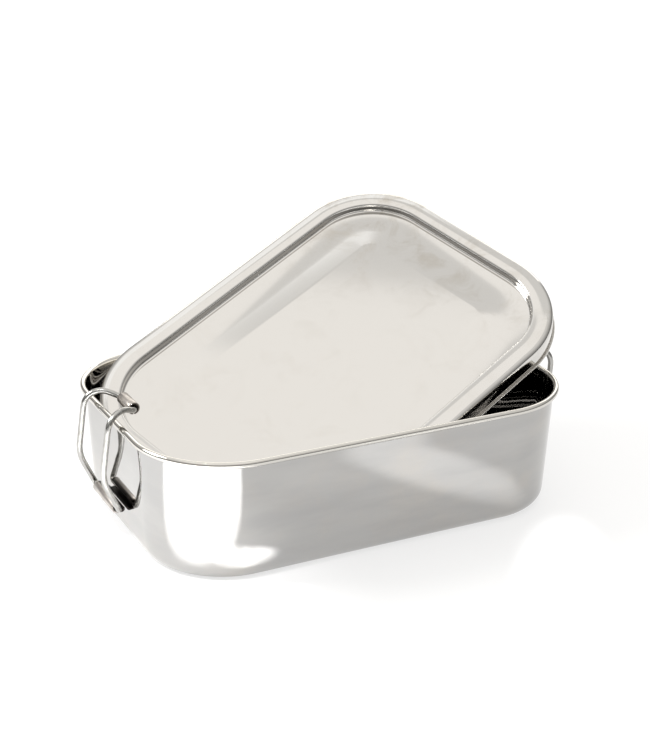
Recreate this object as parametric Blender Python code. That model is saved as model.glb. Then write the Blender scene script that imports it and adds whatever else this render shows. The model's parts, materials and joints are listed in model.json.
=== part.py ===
"""Stainless lunch tin: a drawn tray, a lift-off lid lying askew in it, and two sprung wire clips.

Frame: origin at the middle of the tray's underside, +X along the tin, +Z up, metres.
"""
from math import cos, pi, radians, sin

import bmesh
import bpy
from mathutils import Matrix, Vector

MM = 0.001
GAP = 0.3 * MM

# tray
HALF_LENGTH = 97.5 * MM       # to the middle of the rim roll
HALF_WIDTH = 67.5 * MM        # to the middle of the rim roll
CORNER_RADIUS = 38.6 * MM     # of the rim roll's middle line
TRAY_HEIGHT = 54.3 * MM
TRAY_SHEET = 0.6 * MM
RIM_ROLL_RADIUS = 1.4 * MM
WALL_DRAFT = 2.3 * MM         # how far the wall leans in from rim to floor
FLOOR_FILLET = 6.6 * MM
ROLL_END_ANGLE = -105         # where the curled edge stops, degrees
CORNER_STEPS = 8

# lid, in its own frame: z = 0 at the crown of its bead
LID_SHEET = 0.5 * MM
SKIRT_OUT = 2.3 * MM          # skirt's outer face beyond the rim roll's middle line
SHOULDER_RADIUS = 3.6 * MM
HEM_RADIUS = 0.8 * MM
HEM_DROP = 10.4 * MM          # hem's middle below the crown
BEAD_INNER = 8.0 * MM         # bead's inner edge, inward from the rim roll's middle line
BEAD_EDGE_RADIUS = 1.6 * MM
PANEL_DROP = 4.4 * MM
PANEL_FILLET = 1.0 * MM
RAMP_OUTER = 22.8 * MM
RAMP_INNER = 31.4 * MM
PLATEAU_RISE = 1.0 * MM
LID_PLACE = Vector((10.6, 12.0, 62.75)) * MM
LID_TURN = (radians(18.7), radians(-22.2), radians(15.06))

# clips: the left one is drawn, and the right one is the same turned half round
WIRE_RADIUS = 1.3 * MM
HINGE_X = 98.6 * MM           # hinge axis out from the tin's middle
HINGE_Z = 15.0 * MM
CLIP_OFFSET_Y = 4.4 * MM      # each clip sits this far to the left of its wall's middle, seen from outside
RIGHT_LEAN = radians(11.0)
BAIL_CORNERS = (              # one side of the loop: in from the hinge axis, half width, height, corner cut
    (0.0, 15.4, 0.0, 2.5),
    (-7.0, 15.4, 15.2, 5.0),
    (-3.1, 15.4, 42.4, 6.0),
    (4.3, 12.2, 43.8, 2.4),
    (10.5, 8.4, 41.1, 1.7),
)
BAIL_CORNER_STEPS = 4

# sleeves
SLEEVE_IN = 10.8 * MM         # sleeve's middle line, in from the hinge axis
SLEEVE_UP = 41.1 * MM
SLEEVE_LENGTH = 13.2 * MM
SLEEVE_MEAN_RADIUS = 2.3 * MM
SLEEVE_SHEET = 0.75 * MM
SLEEVE_SEAM = (-82, 262)      # the rolled sheet's two edges, degrees

# brackets
STRIP = 0.8 * MM
BARREL_MEAN_RADIUS = 2.05 * MM
BRACKET_LENGTH = 24.0 * MM
FLANGE_TOP = 1.0 * MM         # over the hinge axis
BEND_MEAN_RADIUS = 0.9 * MM
CURL_END = -315               # where the curl over the wire stops, degrees


def clear_scene():
    for item in list(bpy.data.objects):
        bpy.data.objects.remove(item, do_unlink=True)


def steel(name, colour, roughness):
    material = bpy.data.materials.new(name)
    material.use_nodes = True
    shader = material.node_tree.nodes["Principled BSDF"]
    shader.inputs["Base Color"].default_value = (*colour, 1.0)
    shader.inputs["Metallic"].default_value = 1.0
    shader.inputs["Roughness"].default_value = roughness
    return material


def add_object(name, data, material):
    data.materials.append(material)
    item = bpy.data.objects.new(name, data)
    bpy.context.scene.collection.objects.link(item)
    return item


def add_mesh(name, bm, material):
    bmesh.ops.recalc_face_normals(bm, faces=bm.faces)
    mesh = bpy.data.meshes.new(name)
    bm.to_mesh(mesh)
    bm.free()
    mesh.shade_smooth()
    mesh.set_sharp_from_angle(angle=radians(40))
    return add_object(name, mesh, material)


def arc(centre, radius, start, end, steps):
    """Points of an arc in a section, angles in degrees, both ends included."""
    angles = [radians(start + (end - start) * i / steps) for i in range(steps + 1)]
    return [(centre[0] + radius * cos(a), centre[1] + radius * sin(a)) for a in angles]


def swept_shell(name, section, material):
    """Carry a section of (outward offset, height) round the tin's outline and close both its ends flat."""
    bm = bmesh.new()
    straight_x = HALF_LENGTH - CORNER_RADIUS
    straight_y = HALF_WIDTH - CORNER_RADIUS
    verts = [bm.verts.new((HALF_LENGTH + offset, -straight_y, height)) for offset, height in section]
    edges = [bm.edges.new(pair) for pair in zip(verts, verts[1:])]
    sides = (
        ((0, 2 * straight_y), (straight_x, straight_y)),
        ((-2 * straight_x, 0), (-straight_x, straight_y)),
        ((0, -2 * straight_y), (-straight_x, -straight_y)),
        ((2 * straight_x, 0), (straight_x, -straight_y)),
    )
    for (move_x, move_y), (centre_x, centre_y) in sides:
        grown = bmesh.ops.extrude_edge_only(bm, edges=edges)["geom"]
        verts = [part for part in grown if isinstance(part, bmesh.types.BMVert)]
        edges = [part for part in grown if isinstance(part, bmesh.types.BMEdge)]
        bmesh.ops.translate(bm, verts=verts, vec=(move_x, move_y, 0))
        turned = bmesh.ops.spin(bm, geom=verts + edges, cent=(centre_x, centre_y, 0), axis=(0, 0, 1),
                                angle=pi / 2, steps=CORNER_STEPS, use_duplicate=False)
        edges = [part for part in turned["geom_last"] if isinstance(part, bmesh.types.BMEdge)]
    bmesh.ops.remove_doubles(bm, verts=bm.verts, dist=GAP / 30)
    bmesh.ops.holes_fill(bm, edges=[edge for edge in bm.edges if edge.is_boundary], sides=0)
    return add_mesh(name, bm, material)


def tray_section():
    """From the underside's edge up the outer face, round the open rim roll and down the inner face."""
    outer_top = -(RIM_ROLL_RADIUS - TRAY_SHEET)
    inner_top = -RIM_ROLL_RADIUS
    roll = (0.0, TRAY_HEIGHT - RIM_ROLL_RADIUS)
    outer_foot = outer_top - WALL_DRAFT
    inner_foot = inner_top - WALL_DRAFT
    inner_fillet = FLOOR_FILLET - TRAY_SHEET
    section = arc((outer_foot - FLOOR_FILLET, FLOOR_FILLET), FLOOR_FILLET, -90, 0, 5)
    section += arc(roll, RIM_ROLL_RADIUS - TRAY_SHEET, 180, ROLL_END_ANGLE, 8)
    section += arc(roll, RIM_ROLL_RADIUS, ROLL_END_ANGLE, 180, 8)
    section += arc((inner_foot - inner_fillet, FLOOR_FILLET), inner_fillet, 0, -90, 5)
    return section


def lid_section():
    """From the plateau's underside out to the hem and back over the skirt and the bead to the plateau."""
    sheet = LID_SHEET
    crown_edge = -BEAD_INNER + BEAD_EDGE_RADIUS
    panel_top = -PANEL_DROP
    panel_under = panel_top - sheet
    plateau_top = panel_top + PLATEAU_RISE
    shoulder = (SKIRT_OUT - SHOULDER_RADIUS, -SHOULDER_RADIUS)
    hem = (SKIRT_OUT - sheet + HEM_RADIUS, -HEM_DROP)
    foot = -BEAD_INNER - PANEL_FILLET
    edge = (crown_edge, -BEAD_EDGE_RADIUS)
    under = [(-RAMP_INNER, plateau_top - sheet), (-RAMP_OUTER, panel_under)]
    under += arc((foot, panel_top + PANEL_FILLET), PANEL_FILLET + sheet, -90, 0, 3)
    under += arc(edge, BEAD_EDGE_RADIUS - sheet, 180, 90, 3)
    under += arc(shoulder, SHOULDER_RADIUS - sheet, 90, 0, 4)
    over = arc(shoulder, SHOULDER_RADIUS, 0, 90, 4)
    over += arc(edge, BEAD_EDGE_RADIUS, 90, 180, 3)
    over += arc((foot, panel_top + PANEL_FILLET), PANEL_FILLET, 0, -90, 3)
    over += [(-RAMP_OUTER, panel_top), (-RAMP_INNER, plateau_top)]
    return under + arc(hem, HEM_RADIUS, 180, 420, 8) + over


def build_tray(material):
    return swept_shell("base_tray", tray_section(), material)


def build_lid(material):
    lid = swept_shell("lid", lid_section(), material)
    lid.location = LID_PLACE
    lid.rotation_euler = LID_TURN
    return lid


def rounded_loop(corners):
    """Points of a closed path whose corners, given with how far each is cut back, are eased into curves."""
    points = []
    for index, (corner, cut) in enumerate(corners):
        before = (corners[index - 1][0] - corner).normalized() * cut
        after = (corners[(index + 1) % len(corners)][0] - corner).normalized() * cut
        for step in range(BAIL_CORNER_STEPS + 1):
            t = step / BAIL_CORNER_STEPS
            points.append(corner + before * (1 - t) ** 2 + after * t ** 2)
    return points


def add_pivot(side):
    """Empty on a clip's hinge axis, turned so that its own -X points out from the tin's end."""
    pivot = bpy.data.objects.new("right_pivot" if side > 0 else "left_pivot", None)
    bpy.context.scene.collection.objects.link(pivot)
    pivot.location = (side * HINGE_X, -side * CLIP_OFFSET_Y, HINGE_Z)
    if side > 0:
        pivot.rotation_euler = (0, -RIGHT_LEAN, pi)
    return pivot


def build_bail(name, pivot, material):
    """Closed loop of round wire: bottom wire, two bowed legs and a narrower top wire for the sleeve."""
    near = [(Vector((x, -y, z)) * MM, cut * MM) for x, y, z, cut in BAIL_CORNERS]
    far = [(Vector((x, y, z)) * MM, cut * MM) for x, y, z, cut in reversed(BAIL_CORNERS)]
    points = rounded_loop(near + far)
    curve = bpy.data.curves.new(name, "CURVE")
    curve.dimensions = "3D"
    curve.bevel_depth = WIRE_RADIUS
    curve.bevel_resolution = 2
    curve.use_fill_caps = True
    spline = curve.splines.new("POLY")
    spline.points.add(len(points) - 1)
    for slot, point in zip(spline.points, points):
        slot.co = (*point, 1)
    spline.use_cyclic_u = True
    bail = add_object(name, curve, material)
    bail.parent = pivot
    return bail


def bent_strip(name, path, length, thickness, material):
    """Sheet bent along a path of (x, z) points, as long as given along Y, its middle on the path."""
    bm = bmesh.new()
    verts = [bm.verts.new((x, -length / 2, z)) for x, z in path]
    edges = [bm.edges.new(pair) for pair in zip(verts, verts[1:])]
    grown = bmesh.ops.extrude_edge_only(bm, edges=edges)["geom"]
    far = [part for part in grown if isinstance(part, bmesh.types.BMVert)]
    bmesh.ops.translate(bm, verts=far, vec=(0, length, 0))
    item = add_mesh(name, bm, material)
    solid = item.modifiers.new("sheet", "SOLIDIFY")
    solid.thickness = thickness
    solid.offset = 0
    solid.use_even_offset = True
    return item


def build_sleeve(name, pivot, material):
    path = arc((0, 0), SLEEVE_MEAN_RADIUS, *SLEEVE_SEAM, 14)
    sleeve = bent_strip(name, path, SLEEVE_LENGTH, SLEEVE_SHEET, material)
    sleeve.parent = pivot
    sleeve.location = (SLEEVE_IN, 0, SLEEVE_UP)
    return sleeve


def build_bracket(name, side, material):
    """Strip on an end wall: short welded flange, turned out under the wire and curled round it."""
    roll_height = TRAY_HEIGHT - RIM_ROLL_RADIUS
    lean_in = WALL_DRAFT * (roll_height - HINGE_Z - FLANGE_TOP) / (roll_height - FLOOR_FILLET)
    wall_x = HALF_LENGTH - RIM_ROLL_RADIUS + TRAY_SHEET - lean_in
    flange_x = HINGE_X - wall_x - GAP - STRIP / 2
    path = [(flange_x, FLANGE_TOP)]
    bend = (flange_x - BEND_MEAN_RADIUS, BEND_MEAN_RADIUS - BARREL_MEAN_RADIUS)
    path += arc(bend, BEND_MEAN_RADIUS, 0, -90, 3)
    path += arc((0, 0), BARREL_MEAN_RADIUS, -90, CURL_END, 9)
    bracket = bent_strip(name, path, BRACKET_LENGTH, STRIP, material)
    bracket.location = (side * HINGE_X, -side * CLIP_OFFSET_Y, HINGE_Z)
    if side > 0:
        bracket.rotation_euler = (0, 0, pi)
    return bracket


def build():
    clear_scene()
    build_tray(steel("mirror_steel", (0.72, 0.71, 0.70), 0.06))
    build_lid(steel("satin_lid_steel", (0.83, 0.81, 0.78), 0.22))
    wire_steel = steel("wire_steel", (0.66, 0.64, 0.62), 0.2)
    strip_steel = steel("strip_steel", (0.60, 0.57, 0.54), 0.32)
    for side, word in ((-1, "left"), (1, "right")):
        pivot = add_pivot(side)
        build_bracket(f"{word}_latch_bracket", side, strip_steel)
        build_bail(f"{word}_bail_wire", pivot, wire_steel)
        build_sleeve(f"{word}_clip_sleeve", pivot, strip_steel)


build()
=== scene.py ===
import json
from math import cos, pi, radians, sin

import bmesh
import bpy
from mathutils import Euler, Matrix, Vector


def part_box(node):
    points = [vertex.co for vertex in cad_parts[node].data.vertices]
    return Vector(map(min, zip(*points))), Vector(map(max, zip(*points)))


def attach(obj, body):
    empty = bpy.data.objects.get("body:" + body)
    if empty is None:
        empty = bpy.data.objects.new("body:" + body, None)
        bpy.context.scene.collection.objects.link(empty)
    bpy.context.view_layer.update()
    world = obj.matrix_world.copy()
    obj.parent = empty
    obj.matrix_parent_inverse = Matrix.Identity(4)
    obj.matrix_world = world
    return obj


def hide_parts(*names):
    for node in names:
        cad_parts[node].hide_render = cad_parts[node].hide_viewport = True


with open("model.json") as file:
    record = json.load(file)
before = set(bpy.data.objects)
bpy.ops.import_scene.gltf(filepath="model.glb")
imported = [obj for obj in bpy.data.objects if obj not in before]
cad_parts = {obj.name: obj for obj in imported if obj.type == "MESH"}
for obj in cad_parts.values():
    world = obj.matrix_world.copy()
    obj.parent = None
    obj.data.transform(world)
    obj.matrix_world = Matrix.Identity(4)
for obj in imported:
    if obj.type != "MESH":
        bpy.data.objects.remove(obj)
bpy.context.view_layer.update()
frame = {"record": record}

mm = 0.001
xAxis, yAxis, zAxis = (1, 0, 0), (0, 1, 0), (0, 0, 1)
joinDistance = 0.01 * mm
sharpFrom = radians(40)       # a bend sharper than this is shaded as an edge
roundFrom = radians(50)       # and one sharper than this is rounded, on the small strips
joints = {joint["name"]: joint for joint in frame["record"]["behaviour"]["joints"]}


def newPen(place):
    # an outline starts as one vertex, and is drawn on from its last one
    bm = bmesh.new()
    return bm, bm.verts.new(place)


def drawLine(bm, pen, place):
    grown = bmesh.ops.extrude_vert_indiv(bm, verts=[pen])["verts"]
    grown[0].co = place
    return grown[0]


def drawArc(bm, pen, centre, turn, steps):
    # turn in degrees about +Y, so positive goes from up towards +X
    spun = bmesh.ops.spin(bm, geom=[pen], cent=centre, axis=yAxis, angle=radians(turn), steps=steps,
                          use_duplicate=False)
    return [part for part in spun["geom_last"] if isinstance(part, bmesh.types.BMVert)][0]


def sweepRound(bm, outline):
    # carries the outline, drawn at the +X end, round a rectangle with rounded corners
    halfX = outline["halfLength"] - outline["cornerRadius"]
    halfY = outline["halfWidth"] - outline["cornerRadius"]
    longSteps, shortSteps = outline["straightSteps"]
    sides = (
        ((0, 2 * halfY), (halfX, halfY), shortSteps),
        ((-2 * halfX, 0), (-halfX, halfY), longSteps),
        ((0, -2 * halfY), (-halfX, -halfY), shortSteps),
        ((2 * halfX, 0), (halfX, -halfY), longSteps),
    )
    edges = list(bm.edges)
    for (moveX, moveY), (centreX, centreY), steps in sides:
        for step in range(steps):
            grown = bmesh.ops.extrude_edge_only(bm, edges=edges)["geom"]
            verts = [part for part in grown if isinstance(part, bmesh.types.BMVert)]
            edges = [part for part in grown if isinstance(part, bmesh.types.BMEdge)]
            bmesh.ops.translate(bm, verts=verts, vec=(moveX / steps, moveY / steps, 0))
        turned = bmesh.ops.spin(bm, geom=verts + edges, cent=(centreX, centreY, 0), axis=zAxis, angle=pi / 2,
                                steps=outline["cornerSteps"], use_duplicate=False)
        edges = [part for part in turned["geom_last"] if isinstance(part, bmesh.types.BMEdge)]
    bmesh.ops.remove_doubles(bm, verts=bm.verts, dist=joinDistance)


def fillMiddle(bm, inset):
    # closes the flat middle with one face, inset once so that its shading stays flat
    rim = min((edge for edge in bm.edges if edge.is_boundary), key=lambda edge: edge.verts[0].co.xy.length)
    loop = [rim]
    while True:
        ahead = [edge for vert in loop[-1].verts for edge in vert.link_edges
                 if edge.is_boundary and edge not in loop]
        if not ahead:
            break
        loop.append(ahead[0])
    faces = bmesh.ops.holes_fill(bm, edges=loop, sides=0)["faces"]
    bmesh.ops.inset_region(bm, faces=faces, thickness=inset, use_even_offset=True)


def makePiece(name, bm, material):
    mesh = bpy.data.meshes.new(name)
    bm.to_mesh(mesh)
    bm.free()
    mesh.shade_smooth()
    mesh.set_sharp_from_angle(angle=sharpFrom)
    mesh.materials.append(material)
    piece = bpy.data.objects.new(name, mesh)
    bpy.context.scene.collection.objects.link(piece)
    return piece


def addSheet(piece, thickness):
    sheet = piece.modifiers.new("sheet", "SOLIDIFY")
    sheet.thickness = thickness
    sheet.offset = 0
    sheet.use_even_offset = True


def addEdgeRound(piece, width):
    edgeRound = piece.modifiers.new("edgeRound", "BEVEL")
    edgeRound.width = width
    edgeRound.segments = 2
    edgeRound.limit_method = "ANGLE"
    edgeRound.angle_limit = roundFrom


class Signal:
    # a node socket that Python's operators work on

    def __init__(self, socket):
        self.socket = socket
        self.tree = socket.node.id_data

    def maths(self, operation, *values):
        node = self.tree.nodes.new("ShaderNodeMath")
        node.operation = operation
        for slot, value in zip(node.inputs, values):
            if isinstance(value, Signal):
                self.tree.links.new(value.socket, slot)
            else:
                slot.default_value = value
        return Signal(node.outputs[0])

    def __add__(self, other):
        return self.maths("ADD", self, other)

    def __sub__(self, other):
        return self.maths("SUBTRACT", self, other)

    def __rsub__(self, other):
        return self.maths("SUBTRACT", other, self)

    def __mul__(self, other):
        return self.maths("MULTIPLY", self, other)

    def __abs__(self):
        return self.maths("ABSOLUTE", self)

    __radd__ = __add__
    __rmul__ = __mul__


class Finish:
    # one material and its nodes

    def __init__(self, name):
        self.material = bpy.data.materials.new(name)
        self.material.use_nodes = True
        self.tree = self.material.node_tree
        self.shader = self.tree.nodes["Principled BSDF"]

    def node(self, kind, settings=None, **sockets):
        made = self.tree.nodes.new("ShaderNode" + kind)
        for key, value in (settings or {}).items():
            setattr(made, key, value)
        for key, value in sockets.items():
            slot = made.inputs[int(key[5:])] if key.startswith("input") else made.inputs[key]
            self.feed(slot, value)
        return made

    def feed(self, slot, value):
        if isinstance(value, Signal):
            self.tree.links.new(value.socket, slot)
        else:
            slot.default_value = value

    def shade(self, **sockets):
        for key, value in sockets.items():
            self.feed(self.shader.inputs[key.replace("_", " ")], value)

    def place(self, stretch=(1, 1, 1), turn=(0, 0, 0)):
        coordinates = self.node("TexCoord").outputs["Object"]
        turned = self.node("Mapping", Vector=Signal(coordinates), Rotation=turn, Scale=stretch)
        return Signal(turned.outputs[0])

    def noise(self, scale, detail=3.0, roughness=0.5, place=None, distortion=0.0):
        made = self.node("TexNoise", Vector=place or self.place(), Scale=scale, Detail=detail,
                         Roughness=roughness, Distortion=distortion)
        return Signal(made.outputs[0])

    def axis(self, towards):
        # distance along a direction
        coordinates = self.node("TexCoord").outputs["Object"]
        along = self.node("VectorMath", {"operation": "DOT_PRODUCT"}, input0=Signal(coordinates),
                          input1=towards)
        return Signal(along.outputs["Value"])

    def ramp(self, value, low, high):
        # 0 below low, 1 above high
        made = self.node("MapRange", {"interpolation_type": "SMOOTHSTEP"}, Value=value)
        made.inputs["From Min"].default_value = low
        made.inputs["From Max"].default_value = high
        return Signal(made.outputs[0])

    def blend(self, share, first, second):
        made = self.node("Mix", {"data_type": "RGBA"})
        self.feed(made.inputs[0], share)
        self.feed(made.inputs[6], (*first, 1) if isinstance(first, tuple) else first)
        self.feed(made.inputs[7], (*second, 1) if isinstance(second, tuple) else second)
        return Signal(made.outputs[2])

    def bump(self, height, distance, under=None):
        made = self.node("Bump", Height=height, Distance=distance, Strength=1.0)
        if under:
            self.feed(made.inputs["Normal"], under)
        return Signal(made.outputs[0])


trayLook = {
    "tone": (0.462, 0.455, 0.445), "toneWarm": (0.485, 0.465, 0.44), "toneDull": (0.36, 0.36, 0.36),
    "toneRimHighlight": (0.66, 0.64, 0.60), "rimHighlightFrom": 51.0 * mm, "rimHighlightTo": 51.8 * mm,    # the curled rim is painted brighter, a painted highlight
    "smearSize": 38, "smearFrom": 0.42, "smearTo": 0.72,
    "streakSize": 70, "streakStretch": (0.22, 0.22, 1.0), "streakFrom": 0.35, "streakTo": 0.70,
    "streakShare": 0.45,
    "gloss": 0.015, "smudge": 0.05,
    "waveSize": 24, "waveDepth": 0.30 * mm,
    "rippleSize": 90, "rippleDepth": 0.030 * mm,
    "scratchSize": 900, "scratchStretch": (0.05, 0.05, 1.6), "scratchDepth": 0.0008 * mm,
}


def traySteel(look):
    finish = Finish("traySteel")
    smear = finish.ramp(finish.noise(look["smearSize"], detail=6.0, roughness=0.62),
                        look["smearFrom"], look["smearTo"])
    along = finish.place(stretch=look["streakStretch"])
    streak = finish.ramp(finish.noise(look["streakSize"], detail=4.0, place=along),
                         look["streakFrom"], look["streakTo"])
    wave = finish.noise(look["waveSize"], detail=0.0)
    ripple = finish.noise(look["rippleSize"], detail=1.5)
    scratches = finish.noise(look["scratchSize"], detail=2.0,
                             place=finish.place(stretch=look["scratchStretch"]))
    waved = finish.bump(wave, look["waveDepth"])
    rippled = finish.bump(ripple, look["rippleDepth"], waved)
    tone = finish.blend(smear, look["tone"], look["toneWarm"])
    tone = finish.blend(streak * look["streakShare"], tone, look["toneDull"])
    # painted highlight: the curled rim's colour is lighter than the rest of the tray
    rim = finish.ramp(finish.axis(zAxis), look["rimHighlightFrom"], look["rimHighlightTo"])
    finish.shade(Base_Color=finish.blend(rim, tone, look["toneRimHighlight"]), Metallic=1.0,
                 Roughness=smear * look["smudge"] + look["gloss"],
                 Normal=finish.bump(scratches, look["scratchDepth"], rippled))
    return finish.material


lidLook = {
    "tone": (0.67, 0.655, 0.632), "toneCloud": (0.53, 0.495, 0.445),
    "gloss": 0.085, "cloudRoughness": 0.12,
    "cloudSize": 58, "cloudFrom": 0.47, "cloudTo": 0.74, "cloudTwist": 0.6,
    "cloudTowards": (0.8, 0.6, 0.0), "cloudReach": (0.045, 0.105),    # most on the side that this points to
    "cloudLeast": 0.15,                                               # and this share everywhere
    "waveSize": 16, "waveDepth": 0.05 * mm,
    "hairSize": 520, "hairStretch": (1.0, 0.06, 1.0), "hairTurn": (0, 0, 0.6), "hairDepth": 0.0012 * mm,
}


def lidSteel(look):
    finish = Finish("lidSteel")
    blotch = finish.ramp(finish.noise(look["cloudSize"], detail=7.0, roughness=0.66,
                                      distortion=look["cloudTwist"]), look["cloudFrom"], look["cloudTo"])
    side = finish.ramp(finish.axis(look["cloudTowards"]), *look["cloudReach"])
    cloud = blotch * (side * (1 - look["cloudLeast"]) + look["cloudLeast"])
    wave = finish.noise(look["waveSize"], detail=0.5)
    hairs = finish.noise(look["hairSize"], detail=3.0,
                         place=finish.place(stretch=look["hairStretch"], turn=look["hairTurn"]))
    waved = finish.bump(wave, look["waveDepth"])
    finish.shade(Base_Color=finish.blend(cloud, look["tone"], look["toneCloud"]), Metallic=1.0,
                 Roughness=cloud * look["cloudRoughness"] + look["gloss"],
                 Normal=finish.bump(hairs, look["hairDepth"], waved))
    return finish.material


wireLook = {
    "tone": (0.45, 0.445, 0.43), "toneDull": (0.35, 0.34, 0.32), "gloss": 0.14,
    "wearSize": 260, "wearFrom": 0.45, "wearTo": 0.75, "wearRoughness": 0.16,
    "pitSize": 2600, "pitDepth": 0.002 * mm,
}


def wireSteel(look):
    finish = Finish("wireSteel")
    wear = finish.ramp(finish.noise(look["wearSize"], detail=5.0, roughness=0.6),
                       look["wearFrom"], look["wearTo"])
    pits = finish.noise(look["pitSize"], detail=2.0)
    finish.shade(Base_Color=finish.blend(wear, look["tone"], look["toneDull"]), Metallic=1.0,
                 Roughness=wear * look["wearRoughness"] + look["gloss"],
                 Normal=finish.bump(pits, look["pitDepth"]))
    return finish.material


stripLook = {
    "tone": (0.50, 0.465, 0.435), "toneDull": (0.36, 0.33, 0.30), "gloss": 0.28,
    "wearSize": 340, "wearFrom": 0.42, "wearTo": 0.74, "wearRoughness": 0.18,
    "grainSize": 1800, "grainStretch": (1, 0.12, 1), "grainDepth": 0.006 * mm,
    # painted shade on the strip next to the wall
    "toneWallShade": (0.035, 0.03, 0.028),
    "wallShadeFrom": 98.9 * mm, "wallShadeTo": 97.9 * mm,     # out from the tin's middle
}


def stripSteel(name, look, shadedByWall):
    # a strip against the wall gets painted shade: its colour is dark on the side next to the wall
    finish = Finish(name)
    wear = finish.ramp(finish.noise(look["wearSize"], detail=6.0, roughness=0.62),
                       look["wearFrom"], look["wearTo"])
    grain = finish.noise(look["grainSize"], detail=2.0, place=finish.place(stretch=look["grainStretch"]))
    tone = finish.blend(wear, look["tone"], look["toneDull"])
    if shadedByWall:
        # painted shade where the strip meets the wall
        paintedShade = 1 - finish.ramp(abs(finish.axis(xAxis)), look["wallShadeTo"], look["wallShadeFrom"])
        tone = finish.blend(paintedShade, tone, look["toneWallShade"])
    finish.shade(Base_Color=tone, Metallic=1.0, Roughness=wear * look["wearRoughness"] + look["gloss"],
                 Normal=finish.bump(grain, look["grainDepth"]))
    return finish.material


trayFinish = traySteel(trayLook)
lidFinish = lidSteel(lidLook)
wireFinish = wireSteel(wireLook)
sleeveFinish = stripSteel("sleeveSteel", stripLook, shadedByWall=False)
bracketFinish = stripSteel("bracketSteel", stripLook, shadedByWall=True)
print("finishes made")


tray = {
    "sheet": 0.6 * mm,
    "rollRadius": 1.4 * mm,       # outside of the curled rim
    "draft": 2.3 * mm,
    "floorFillet": 6.6 * mm,
    "rollTurn": 285,              # degrees that the rim is curled through
    "height": 54.3 * mm,
    "cornerRadius": 38.6 * mm,
    "middleInset": 1.5 * mm,
    "filletSteps": 10,
    "wallSteps": 6,
    "rollSteps": 20,
    "cornerSteps": 24,
    "straightSteps": (10, 6),
}
trayHigh = Vector(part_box("base_tray")[1])
tray["halfLength"] = trayHigh.x - tray["rollRadius"]
tray["halfWidth"] = trayHigh.y - tray["rollRadius"]


def makeTray(size, material):
    half = size["sheet"] / 2
    wallTop = -size["rollRadius"] + half
    wallFoot = wallTop - size["draft"]
    fillet = size["floorFillet"] - half
    rollZ = size["height"] - size["rollRadius"]
    startX, startY = size["halfLength"], size["cornerRadius"] - size["halfWidth"]
    bm, pen = newPen((startX + wallFoot - fillet, startY, half))
    pen = drawArc(bm, pen, (startX + wallFoot - fillet, startY, size["floorFillet"]), -90,
                  size["filletSteps"])
    for step in range(1, size["wallSteps"] + 1):
        lift = step / size["wallSteps"]
        pen = drawLine(bm, pen, (startX + wallFoot + size["draft"] * lift, startY,
                                 size["floorFillet"] + (rollZ - size["floorFillet"]) * lift))
    drawArc(bm, pen, (startX, startY, rollZ), size["rollTurn"], size["rollSteps"])
    sweepRound(bm, size)
    fillMiddle(bm, size["middleInset"])
    bmesh.ops.recalc_face_normals(bm, faces=bm.faces)
    piece = makePiece("trayShell", bm, material)
    addSheet(piece, size["sheet"])
    return piece


trayShell = makeTray(tray, trayFinish)
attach(trayShell, "tray")
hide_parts("base_tray")
print("tray made")


lid = {
    "sheet": 0.5 * mm,
    "skirtOut": 2.3 * mm,         # skirt's outer face beyond the rim roll's middle
    "shoulder": 3.6 * mm,
    "hemRadius": 0.8 * mm,
    "hemTurn": 230,
    "hemDrop": 10.4 * mm,
    "beadInner": 8.0 * mm,
    "beadEdge": 1.6 * mm,
    "crownRise": 0.25 * mm,
    "panelDrop": 4.4 * mm,
    "panelFillet": 1.0 * mm,
    "rampOuter": 22.8 * mm,
    "rampInner": 31.4 * mm,
    "plateauRise": 1.0 * mm,
    "place": (10.6 * mm, 12.0 * mm, 62.75 * mm),
    "turn": (18.7, -22.2, 15.06),
    "middleInset": 1.5 * mm,
    "filletSteps": 6,
    "edgeSteps": 8,
    "crownSteps": 8,
    "shoulderSteps": 10,
    "hemSteps": 12,
    "cornerSteps": 24,
    "straightSteps": (10, 6),
}
for key in ("halfLength", "halfWidth", "cornerRadius"):
    lid[key] = tray[key]


def makeLid(size, material):
    half = size["sheet"] / 2
    startX, startY = size["halfLength"], size["cornerRadius"] - size["halfWidth"]
    panel = -size["panelDrop"] - half
    foot = startX - size["beadInner"] - size["panelFillet"]
    edge = (startX - size["beadInner"] + size["beadEdge"], startY, -size["beadEdge"] - size["crownRise"])
    shoulder = (startX + size["skirtOut"] - size["shoulder"], startY, -size["shoulder"] - size["crownRise"])
    skirt = startX + size["skirtOut"] - half
    hem = (skirt - half + size["hemRadius"], startY, -size["hemDrop"])
    bm, pen = newPen((startX - size["rampInner"], startY, panel + size["plateauRise"]))
    pen = drawLine(bm, pen, (startX - size["rampOuter"], startY, panel))
    pen = drawLine(bm, pen, (foot, startY, panel))
    pen = drawArc(bm, pen, (foot, startY, panel + size["panelFillet"] + half), -90, size["filletSteps"])
    pen = drawLine(bm, pen, (edge[0] - size["beadEdge"] + half, startY, edge[2]))
    pen = drawArc(bm, pen, edge, 90, size["edgeSteps"])
    for step in range(1, size["crownSteps"]):      # the crown is gently domed
        share = step / size["crownSteps"]
        across = edge[0] + (shoulder[0] - edge[0]) * share
        pen = drawLine(bm, pen, (across, startY, -half - size["crownRise"] * (1 - sin(pi * share))))
    pen = drawLine(bm, pen, (shoulder[0], startY, -half - size["crownRise"]))
    pen = drawArc(bm, pen, shoulder, 90, size["shoulderSteps"])
    pen = drawLine(bm, pen, (skirt, startY, hem[2]))
    drawArc(bm, pen, hem, -size["hemTurn"], size["hemSteps"])
    sweepRound(bm, size)
    fillMiddle(bm, size["middleInset"])
    bmesh.ops.recalc_face_normals(bm, faces=bm.faces)
    turn = Euler([radians(angle) for angle in size["turn"]]).to_matrix().to_4x4()
    bmesh.ops.transform(bm, matrix=Matrix.Translation(size["place"]) @ turn, verts=bm.verts)
    piece = makePiece("lidShell", bm, material)
    addSheet(piece, size["sheet"])
    return piece


lidShell = makeLid(lid, lidFinish)
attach(lidShell, "lid")
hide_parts("lid")
print("lid made")


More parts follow.
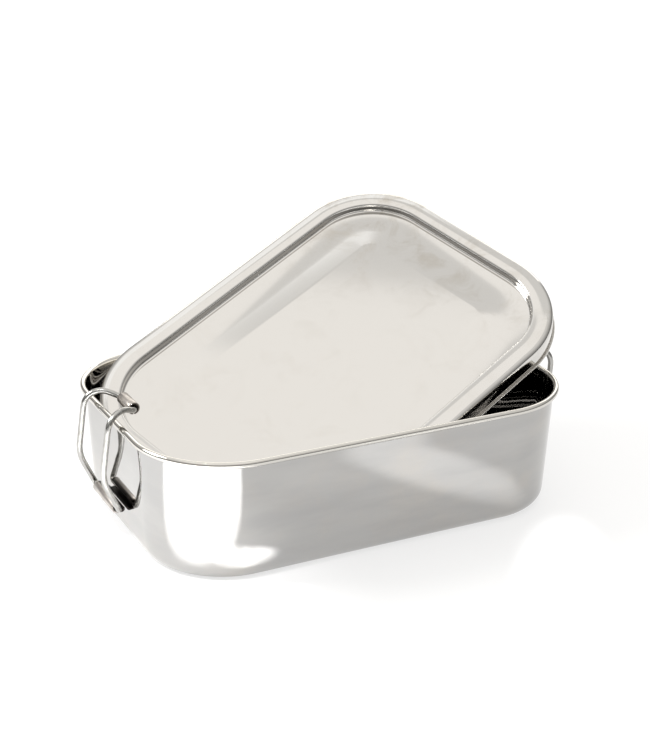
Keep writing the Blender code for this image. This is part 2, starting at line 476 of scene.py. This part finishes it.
clip = {
    "wireRadius": 1.3 * mm,
    "ringSteps": 6,
    "bendSteps": 10,
    "bendPull": 0.36,             # the curve's handles in a bend and along a straight,
    "straightPull": 1.3,          # as shares of the bend's reach
    # one side of the wire loop: in from the hinge axis, half width, height, corner cut
    "corners": ((0.0, 15.4, 0.0, 2.5), (-7.0, 15.4, 15.2, 5.0), (-3.1, 15.4, 42.4, 6.0),
                (4.3, 12.2, 43.8, 2.4), (10.5, 8.4, 41.1, 1.7)),
    "lean": {"left": 0.0, "right": 11.0},
    "sleeveAt": (10.8 * mm, 0, 41.1 * mm),
    "sleeveLength": 13.2 * mm,
    "sleeveRadius": 2.3 * mm,     # middle of the rolled sheet
    "sleeveSheet": 0.75 * mm,
    "sleeveSeam": 12,             # degrees left open
    "sleeveSteps": 40,
    "sleeveEdge": 0.15 * mm,
}


def clipPlace(side):
    # from a clip drawn about its hinge axis, outward along -X, to its place on the tin
    hinge = Matrix.Translation(joints[side + "_bail_swing"]["pos_m"])
    if side == "left":
        return hinge
    return hinge @ Matrix.Rotation(pi, 4, "Z") @ Matrix.Rotation(-radians(clip["lean"][side]), 4, "Y")


def makeBail(side, size, material):
    near = [(Vector((x, -y, z)) * mm, cut * mm) for x, y, z, cut in size["corners"]]
    far = [(Vector((x, y, z)) * mm, cut * mm) for x, y, z, cut in reversed(size["corners"])]
    corners = near + far
    place = clipPlace(side)
    curve = bpy.data.curves.new(side + "Bail", "CURVE")
    curve.dimensions = "3D"
    curve.bevel_depth = size["wireRadius"]
    curve.bevel_resolution = size["ringSteps"]
    curve.resolution_u = size["bendSteps"]
    curve.materials.append(material)
    spline = curve.splines.new("BEZIER")
    spline.bezier_points.add(2 * len(corners) - 1)
    spline.use_cyclic_u = True
    for index, (corner, cut) in enumerate(corners):
        before = (corners[index - 1][0] - corner).normalized() * cut
        after = (corners[(index + 1) % len(corners)][0] - corner).normalized() * cut
        for slot, reach, sign in ((spline.bezier_points[2 * index], before, 1),
                                  (spline.bezier_points[2 * index + 1], after, -1)):
            slot.handle_left_type = slot.handle_right_type = "FREE"
            towards = corner + reach * size["bendPull"]
            away = corner + reach * size["straightPull"]
            slot.co = place @ (corner + reach)
            slot.handle_right = place @ (towards if sign > 0 else away)
            slot.handle_left = place @ (away if sign > 0 else towards)
    piece = bpy.data.objects.new(side + "Bail", curve)
    bpy.context.scene.collection.objects.link(piece)
    return piece


def bendStrip(bm, length, place):
    # draws the bent outline out along Y and puts it in place
    bmesh.ops.translate(bm, verts=bm.verts, vec=(0, -length / 2, 0))
    grown = bmesh.ops.extrude_edge_only(bm, edges=bm.edges)["geom"]
    bmesh.ops.translate(bm, verts=[part for part in grown if isinstance(part, bmesh.types.BMVert)],
                        vec=(0, length, 0))
    bmesh.ops.recalc_face_normals(bm, faces=bm.faces)
    bmesh.ops.transform(bm, matrix=place, verts=bm.verts)


def makeSleeve(side, size, material):
    radius, seam = size["sleeveRadius"], radians(size["sleeveSeam"] / 2)
    bm, pen = newPen((radius * sin(seam), 0, -radius * cos(seam)))
    drawArc(bm, pen, (0, 0, 0), -(360 - size["sleeveSeam"]), size["sleeveSteps"])
    bendStrip(bm, size["sleeveLength"], clipPlace(side) @ Matrix.Translation(size["sleeveAt"]))
    piece = makePiece(side + "Sleeve", bm, material)
    addSheet(piece, size["sleeveSheet"])
    addEdgeRound(piece, size["sleeveEdge"])
    return piece


bracket = {
    "sheet": 0.8 * mm,
    "barrelRadius": 2.05 * mm,    # middle of the curled strip
    "bendRadius": 0.9 * mm,
    "length": 24.0 * mm,
    "flangeTop": -0.5 * mm,       # from the hinge axis
    "curlTurn": 225,
    "bendSteps": 8,
    "curlSteps": 30,
    "edge": 0.18 * mm,
}


def makeBracket(side, size, material):
    node = side + "_latch_bracket"
    low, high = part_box(node)
    hinge = Vector(joints[side + "_bail_swing"]["pos_m"])
    inward = max(abs(high[0] - hinge.x), abs(low[0] - hinge.x)) - size["sheet"] / 2
    bendCentre = (inward - size["bendRadius"], 0, size["bendRadius"] - size["barrelRadius"])
    bm, pen = newPen((inward, 0, size["flangeTop"]))
    pen = drawLine(bm, pen, (inward, 0, bendCentre[2]))
    pen = drawArc(bm, pen, bendCentre, 90, size["bendSteps"])
    pen = drawLine(bm, pen, (0, 0, -size["barrelRadius"]))
    drawArc(bm, pen, (0, 0, 0), size["curlTurn"], size["curlSteps"])
    turn = Matrix.Rotation(pi if side == "right" else 0, 4, "Z")
    bendStrip(bm, size["length"], Matrix.Translation(hinge) @ turn)
    piece = makePiece(side + "Bracket", bm, material)
    addSheet(piece, size["sheet"])
    addEdgeRound(piece, size["edge"])
    return piece


for side in ("left", "right"):
    bail = makeBail(side, clip, wireFinish)
    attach(bail, side + "_bail")
    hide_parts(side + "_bail_wire")
    sleeve = makeSleeve(side, clip, sleeveFinish)
    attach(sleeve, side + "_sleeve")
    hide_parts(side + "_clip_sleeve")
    hook = makeBracket(side, bracket, bracketFinish)
    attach(hook, "tray")
    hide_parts(side + "_latch_bracket")
print("clips made")


studio = {
    "floorSize": 60.0, "floorDrop": 0.1 * mm,
    "floorTone": 0.36, "floorGlow": 0.66,     # the table glows as if lit from below
    "horizon": (0.10, 0.10, 0.10), "sky": (0.89, 0.878, 0.855), "skyTop": 0.78,
    "lamps": {
        "overhead": {"place": (-0.108, -0.148, 1.15), "aim": (-0.108, -0.148, 0.0), "turn": 54,
                     "size": (1.045, 1.2), "power": 1.2, "tone": (1.0, 0.96, 0.91)},
        "back": {"place": (0.10, 0.62, 1.15), "aim": (0.10, 0.62, 0.0), "turn": 0,
                 "size": (1.2, 0.26), "power": 0.42, "tone": (0.95, 0.98, 1.0)},
        "wall": {"place": (0.85, 1.45, 0.85), "aim": (0.0, 0.0, 0.1), "turn": 0,
                 "size": (2.0, 1.0), "power": 9.0, "tone": (1.0, 0.97, 0.91)},
        "window": {"place": (-0.95, 0.55, 0.85), "aim": (0.0, 0.0, 0.0), "turn": 0,
                   "size": (0.5, 0.5), "power": 12.0, "tone": (1.0, 0.99, 0.97)},
    },
    "poolSource": 3.0 * mm,                   # a small source keeps the pools' edges crisp
    "pools": {                                # pools of light on the table, seen again in the tin's walls
        "corner": {"place": (-0.50, -0.45, 1.0), "aim": (-0.19, -0.145, 0.0), "power": 200.0,
                   "cone": 12.0, "blend": 0.06, "turn": 0, "squeeze": 1.0},
        "edge": {"place": (-0.09, -0.30, 0.9), "aim": (-0.088, -0.080, 0.0), "power": 190.0,
                 "cone": 5.6, "blend": 0.2, "turn": 90, "squeeze": 0.2},
        "spill": {"place": (-0.50, -0.35, 1.0), "aim": (-0.215, -0.055, 0.0), "power": 75.0,
                  "cone": 20.0, "blend": 1.0, "turn": 0, "squeeze": 1.0},
        "streak": {"place": (0.05, -0.32, 0.9), "aim": (0.050, -0.122, 0.0), "power": 38.0,
                   "cone": 8.6, "blend": 0.8, "turn": -36, "squeeze": 0.34},
    },
}


def makeFloor(size):
    finish = Finish("lightTable")
    finish.shade(Base_Color=(size["floorTone"],) * 3 + (1,), Roughness=0.9,
                 Emission_Color=(1.0, 1.0, 1.0, 1.0), Emission_Strength=size["floorGlow"])
    bm = bmesh.new()
    bmesh.ops.create_grid(bm, x_segments=1, y_segments=1, size=size["floorSize"] / 2,
                          matrix=Matrix.Translation((0, 0, -size["floorDrop"])))
    return makePiece("floor", bm, finish.material)


def aimAt(lamp, place, aim):
    lamp.location = place
    lamp.rotation_euler = (Vector(aim) - Vector(place)).to_track_quat("-Z", "Y").to_euler()
    bpy.context.scene.collection.objects.link(lamp)


def makeLamp(name, place, aim, turn, size, power, tone):
    light = bpy.data.lights.new(name, "AREA")
    light.shape = "RECTANGLE"
    light.size, light.size_y = size
    light.energy = power
    light.color = tone
    lamp = bpy.data.objects.new(name, light)
    aimAt(lamp, place, aim)
    lamp.rotation_euler.rotate_axis("Z", radians(turn))


def makePool(name, place, aim, power, cone, blend, turn, squeeze):
    light = bpy.data.lights.new(name, "SPOT")
    light.energy = power
    light.spot_size = radians(cone)
    light.spot_blend = blend
    light.shadow_soft_size = studio["poolSource"]
    lamp = bpy.data.objects.new(name, light)
    aimAt(lamp, place, aim)
    lamp.rotation_euler.rotate_axis("Z", radians(turn))
    lamp.scale = (squeeze, 1, 1)


def makeSky(size):
    # darker at the horizon than overhead
    world = bpy.data.worlds.new("studio")
    world.use_nodes = True
    tree = world.node_tree
    height = tree.nodes.new("ShaderNodeSeparateXYZ")
    tree.links.new(tree.nodes.new("ShaderNodeTexCoord").outputs["Generated"], height.inputs[0])
    gradient = tree.nodes.new("ShaderNodeValToRGB")
    gradient.color_ramp.elements[0].color = (*size["horizon"], 1)
    gradient.color_ramp.elements[1].color = (*size["sky"], 1)
    gradient.color_ramp.elements[1].position = size["skyTop"]
    tree.links.new(height.outputs["Z"], gradient.inputs["Fac"])
    tree.links.new(gradient.outputs["Color"], tree.nodes["Background"].inputs["Color"])
    bpy.context.scene.world = world


makeFloor(studio)
makeSky(studio)
for name, pool in studio["pools"].items():
    makePool(name, **pool)
for name, lamp in studio["lamps"].items():
    makeLamp(name, **lamp)
bpy.context.scene.view_settings.view_transform = "Standard"

camera = {
    "place": (-0.2849, -0.5608, 0.2984),
    "azimuth": -27.13, "elevation": 21.08, "roll": 0.73,
    "lens": 73.3, "sensor": 36,
}
lens = bpy.data.cameras.new("camera")
lens.lens = camera["lens"]
lens.sensor_width = camera["sensor"]
viewer = bpy.data.objects.new("camera", lens)
aim = (Matrix.Rotation(radians(camera["azimuth"]), 4, "Z")
       @ Matrix.Rotation(radians(90 - camera["elevation"]), 4, "X")
       @ Matrix.Rotation(radians(camera["roll"]), 4, "Z"))
viewer.matrix_world = Matrix.Translation(camera["place"]) @ aim
bpy.context.scene.collection.objects.link(viewer)
bpy.context.scene.camera = viewer
print("studio made")
